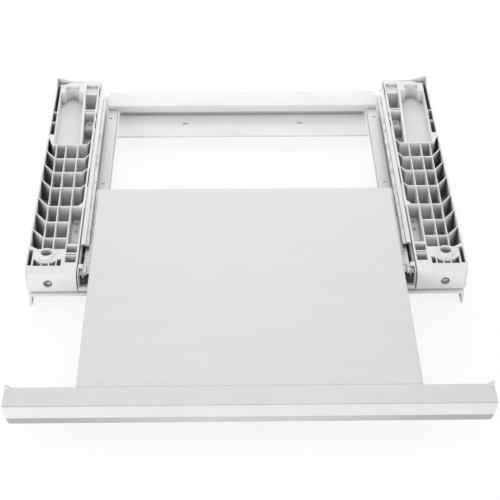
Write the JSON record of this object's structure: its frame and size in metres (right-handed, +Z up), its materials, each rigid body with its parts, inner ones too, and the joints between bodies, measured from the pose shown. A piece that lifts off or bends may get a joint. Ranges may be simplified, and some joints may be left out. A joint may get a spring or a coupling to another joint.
{
  "type": "washer dryer stacking kit",
  "caption": "White stacking kit for a washer and a dryer: ribbed side housings on skirted base plates, joined by rails and a rear crossbar, with a pull-out shelf on ball slides.",
  "frame": {"origin": "centre of the kit with its shelf out, at the height of the skirts' lower edges", "axes": "+X to the right seen from the front, +Y to the back, +Z up"},
  "size_m": [0.6116, 0.824, 0.064],
  "materials": {
    "white_plastic": "moulded white plastic, fine satin texture",
    "white_paint": "white powder coat on folded sheet steel",
    "shelf_paint": "white powder coat, slightly glossy",
    "bar_plastic": "smooth white plastic, satin",
    "zinc_steel": "bright zinc plate",
    "polished_steel": "polished steel",
    "dark_plastic": "dark grey plastic"
  },
  "bodies": {
    "frame": {"base_plate_left": "white_plastic", "base_plate_right": "white_plastic", "base_screw_left_1": "zinc_steel", "base_screw_left_2": "zinc_steel", "base_screw_right_1": "zinc_steel", "base_screw_right_2": "zinc_steel", "crossbar_rivet_left": "zinc_steel", "crossbar_rivet_right": "zinc_steel", "front_screw_left": "zinc_steel", "front_screw_right": "zinc_steel", "housing_left": "white_plastic", "housing_right": "white_plastic", "rear_crossbar": "white_paint", "side_rail_left": "white_paint", "side_rail_right": "white_paint", "slide_outer_left": "zinc_steel", "slide_outer_right": "zinc_steel", "slide_rivet_left_1": "zinc_steel", "slide_rivet_left_2": "zinc_steel", "slide_rivet_right_1": "zinc_steel", "slide_rivet_right_2": "zinc_steel", "slide_stop_left": "dark_plastic", "slide_stop_right": "dark_plastic", "stop_rivet_left": "zinc_steel", "stop_rivet_right": "zinc_steel", "tab_screw_left_1": "zinc_steel", "tab_screw_left_2": "zinc_steel", "tab_screw_left_3": "zinc_steel", "tab_screw_right_1": "zinc_steel", "tab_screw_right_2": "zinc_steel", "tab_screw_right_3": "zinc_steel"},
    "drawer": {"bar_end_cap_left": "bar_plastic", "bar_end_cap_right": "bar_plastic", "bar_screw_1": "zinc_steel", "bar_screw_2": "zinc_steel", "bar_screw_3": "zinc_steel", "front_bar": "bar_plastic", "shelf_panel": "shelf_paint", "shelf_screw_left_1": "zinc_steel", "shelf_screw_left_2": "zinc_steel", "shelf_screw_right_1": "zinc_steel", "shelf_screw_right_2": "zinc_steel", "slide_inner_left": "zinc_steel", "slide_inner_right": "zinc_steel"},
    "cage_left": {"ball_retainer_left": "polished_steel", "slide_ball_left_1": "polished_steel", "slide_ball_left_2": "polished_steel", "slide_ball_left_3": "polished_steel", "slide_ball_left_4": "polished_steel", "slide_ball_left_5": "polished_steel", "slide_ball_left_6": "polished_steel"},
    "cage_right": {"ball_retainer_right": "polished_steel", "slide_ball_right_1": "polished_steel", "slide_ball_right_2": "polished_steel", "slide_ball_right_3": "polished_steel", "slide_ball_right_4": "polished_steel", "slide_ball_right_5": "polished_steel", "slide_ball_right_6": "polished_steel"}
  },
  "joints": [
    {"name": "drawer_slide", "type": "slide", "parent": "frame", "child": "drawer", "axis": [0, -1, 0], "range_m": [-0.243, 0]},
    {"name": "cage_slide_left", "type": "slide", "parent": "frame", "child": "cage_left", "axis": [0, -1, 0], "range_m": [-0.1215, 0]},
    {"name": "cage_slide_right", "type": "slide", "parent": "frame", "child": "cage_right", "axis": [0, -1, 0], "range_m": [-0.1215, 0]}
  ],
  "couplings": [
    {"joint": "cage_slide_left", "follows": "drawer_slide", "ratio": 0.5},
    {"joint": "cage_slide_right", "follows": "drawer_slide", "ratio": 0.5}
  ]
}
